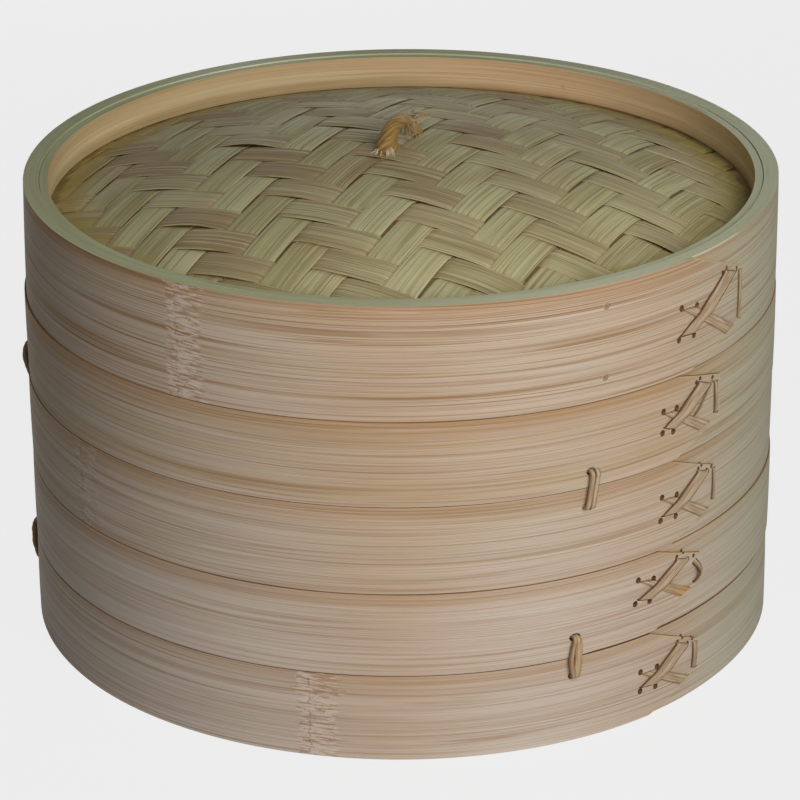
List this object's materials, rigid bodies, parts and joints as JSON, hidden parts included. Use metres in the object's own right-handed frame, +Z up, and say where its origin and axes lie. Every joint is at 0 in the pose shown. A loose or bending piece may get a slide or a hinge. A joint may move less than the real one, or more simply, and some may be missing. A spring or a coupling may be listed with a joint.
{
  "type": "bamboo steamer",
  "caption": "Round stacking bamboo steamer: two slatted tiers of bent bamboo hoops under a woven domed lid with a small cane carrying loop.",
  "frame": {"origin": "middle of the lower tier's foot ring, on the surface the steamer stands on", "axes": "+Z up along the stack, -Y the side towards the picture's camera, +X to the right in the picture"},
  "size_m": [0.2577, 0.255, 0.1762],
  "materials": {
    "band_bamboo": "planed pale bamboo, dry and matt, with fine brown fibre lines round the hoop",
    "hoop_bamboo": "warm yellow-tan bamboo, matt",
    "slat_bamboo": "split bamboo, matt, fibres along the slat",
    "woven_bamboo": "olive and straw split bamboo in a two-over-two-under twill, slightly glossy skin",
    "cane": "tan split cane, matt",
    "handle_cane": "orange-tan twisted cane bundle",
    "pin_bamboo": "end grain of a bamboo pin"
  },
  "bodies": {
    "lower_tier": {"lower_tier_wall_hoop": "hoop_bamboo", "lower_tier_upper_band": "band_bamboo", "lower_tier_lower_band": "band_bamboo", "lower_tier_upper_lacing": "cane", "lower_tier_lower_lacing": "cane", "lower_tier_ledge_hoop": "hoop_bamboo", "lower_tier_retaining_hoop": "hoop_bamboo", "lower_tier_cross_bar_left": "slat_bamboo", "lower_tier_cross_bar_right": "slat_bamboo", "lower_tier_slat_1": "slat_bamboo", "lower_tier_slat_2": "slat_bamboo", "lower_tier_slat_3": "slat_bamboo", "lower_tier_slat_4": "slat_bamboo", "lower_tier_slat_5": "slat_bamboo", "lower_tier_slat_6": "slat_bamboo", "lower_tier_slat_7": "slat_bamboo", "lower_tier_slat_8": "slat_bamboo", "lower_tier_slat_9": "slat_bamboo", "lower_tier_slat_10": "slat_bamboo", "lower_tier_slat_11": "slat_bamboo", "lower_tier_binding_loop_1": "cane", "lower_tier_binding_loop_2": "cane", "lower_tier_binding_loop_3": "cane"},
    "upper_tier": {"upper_tier_wall_hoop": "hoop_bamboo", "upper_tier_upper_band": "band_bamboo", "upper_tier_lower_band": "band_bamboo", "upper_tier_upper_lacing": "cane", "upper_tier_lower_lacing": "cane", "upper_tier_ledge_hoop": "hoop_bamboo", "upper_tier_retaining_hoop": "hoop_bamboo", "upper_tier_cross_bar_left": "slat_bamboo", "upper_tier_cross_bar_right": "slat_bamboo", "upper_tier_slat_1": "slat_bamboo", "upper_tier_slat_2": "slat_bamboo", "upper_tier_slat_3": "slat_bamboo", "upper_tier_slat_4": "slat_bamboo", "upper_tier_slat_5": "slat_bamboo", "upper_tier_slat_6": "slat_bamboo", "upper_tier_slat_7": "slat_bamboo", "upper_tier_slat_8": "slat_bamboo", "upper_tier_slat_9": "slat_bamboo", "upper_tier_slat_10": "slat_bamboo", "upper_tier_slat_11": "slat_bamboo", "upper_tier_binding_loop_1": "cane", "upper_tier_binding_loop_2": "cane", "upper_tier_binding_loop_3": "cane"},
    "lid": {"lid_outer_hoop": "band_bamboo", "lid_lacing": "cane", "lid_upper_inner_hoop": "hoop_bamboo", "lid_lower_inner_hoop": "hoop_bamboo", "lid_woven_dome": "woven_bamboo", "lid_dome_lining": "woven_bamboo", "lid_handle_loop": "handle_cane", "lid_upper_pin_1": "pin_bamboo", "lid_upper_pin_2": "pin_bamboo", "lid_upper_pin_3": "pin_bamboo", "lid_lower_pin_1": "pin_bamboo", "lid_lower_pin_2": "pin_bamboo", "lid_lower_pin_3": "pin_bamboo"}
  },
  "joints": [
    {"name": "upper_tier_lift", "type": "slide", "parent": "lower_tier", "child": "upper_tier", "axis": [0, 0, 1], "range_m": [0, 0.1]},
    {"name": "lid_lift", "type": "slide", "parent": "upper_tier", "child": "lid", "axis": [0, 0, 1], "range_m": [0, 0.12]}
  ]
}
